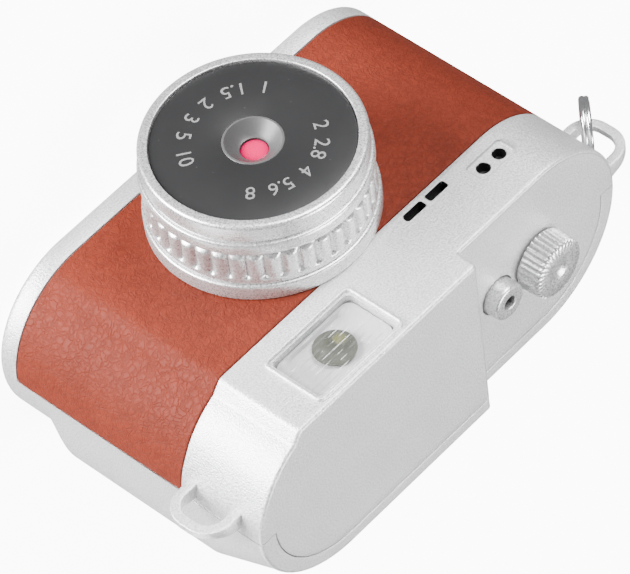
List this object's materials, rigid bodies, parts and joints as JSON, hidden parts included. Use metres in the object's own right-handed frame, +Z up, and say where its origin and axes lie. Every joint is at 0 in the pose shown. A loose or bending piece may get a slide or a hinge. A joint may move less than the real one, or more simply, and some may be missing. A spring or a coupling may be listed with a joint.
{
  "type": "thumb-size digital camera",
  "caption": "Thumb-size digital camera in rangefinder dress: silver shells, red-brown leatherette, stacked lens, flash window, top dial and button, rear screen and keys, split ring.",
  "frame": {"origin": "middle of the flat base, on the plane that the camera stands on", "axes": "+X along the body towards the viewer's right when facing the lens, -Y out of the lens, +Z up"},
  "size_m": [0.0586, 0.0323, 0.0318],
  "materials": {
    "silver_paint": "fine-grained silver metallic paint on moulded plastic",
    "red_leatherette": "pebble-grained red-brown leatherette",
    "bright_steel": "bright plated steel",
    "black_plastic": "satin black plastic",
    "grey_plastic": "satin dark grey plastic",
    "white_plastic": "white reflector plastic",
    "led_phosphor": "yellowish phosphor gel in a pale package",
    "clear_plastic": "clear ribbed diffuser",
    "coated_glass": "pink-coated lens",
    "board_green": "green solder mask",
    "battery_foil": "foil pouch",
    "screen_glass": "black glossy screen window",
    "flex_amber": "amber film"
  },
  "bodies": {
    "body": {"front_shell": "silver_paint", "back_shell": "silver_paint", "leather_left": "red_leatherette", "leather_right": "red_leatherette", "lens_base": "silver_paint", "lens_nut": "black_plastic", "lens_bezel": "silver_paint", "lens_disc": "black_plastic", "lens_cone": "grey_plastic", "lens_pupil": "coated_glass", "camera_module": "black_plastic", "sensor_board": "board_green", "camera_flex": "flex_amber", "flash_border": "silver_paint", "flash_window": "clear_plastic", "flash_tray": "white_plastic", "flash_led": "led_phosphor", "flash_board": "board_green", "speaker": "black_plastic", "microphone": "black_plastic", "shutter_switch": "black_plastic", "top_board": "board_green", "screen_window": "screen_glass", "display_panel": "black_plastic", "key_up_switch": "grey_plastic", "key_down_switch": "grey_plastic", "key_mode_switch": "grey_plastic", "key_power_switch": "grey_plastic", "main_board": "board_green", "battery": "battery_foil", "card_socket": "bright_steel", "usb_port": "bright_steel", "case_screw_left": "bright_steel", "case_screw_right": "bright_steel", "strap_lug_left": "silver_paint", "strap_lug_right": "silver_paint"},
    "grip": {"lens_grip_ring": "silver_paint"},
    "dial": {"mode_dial": "silver_paint", "dial_clip": "bright_steel"},
    "shutter": {"shutter_button": "silver_paint"},
    "up": {"key_up": "black_plastic"},
    "down": {"key_down": "black_plastic"},
    "mode": {"key_mode": "black_plastic"},
    "power": {"key_power": "black_plastic"},
    "card": {"memory_card": "black_plastic"},
    "ring": {"split_ring": "bright_steel"}
  },
  "joints": [
    {"name": "grip_turn", "type": "hinge", "parent": "body", "child": "grip", "pos_m": [0.002, -0.01375, 0.01215], "axis": [0, -1, 0], "range_deg": [-45, 45]},
    {"name": "dial_turn", "type": "hinge", "parent": "body", "child": "dial", "pos_m": [-0.0143, -0.0001, 0.0306], "axis": [0, 0, 1], "continuous": true},
    {"name": "shutter_press", "type": "slide", "parent": "body", "child": "shutter", "axis": [0, 0, -1], "range_m": [0, 0.0006], "stiffness_N_per_m": 400},
    {"name": "up_press", "type": "slide", "parent": "body", "child": "up", "axis": [0, -1, 0], "range_m": [0, 0.0004], "stiffness_N_per_m": 400},
    {"name": "down_press", "type": "slide", "parent": "body", "child": "down", "axis": [0, -1, 0], "range_m": [0, 0.0004], "stiffness_N_per_m": 400},
    {"name": "mode_press", "type": "slide", "parent": "body", "child": "mode", "axis": [0, -1, 0], "range_m": [0, 0.0004], "stiffness_N_per_m": 400},
    {"name": "power_press", "type": "slide", "parent": "body", "child": "power", "axis": [0, -1, 0], "range_m": [0, 0.0004], "stiffness_N_per_m": 400},
    {"name": "card_slide", "type": "slide", "parent": "body", "child": "card", "axis": [-1, 0, 0], "range_m": [0, 0.012]},
    {"name": "ring_run", "type": "hinge", "parent": "body", "child": "ring", "pos_m": [-0.0275, -0.0016, 0.024], "axis": [0.7071, 0, -0.7071], "continuous": true}
  ]
}
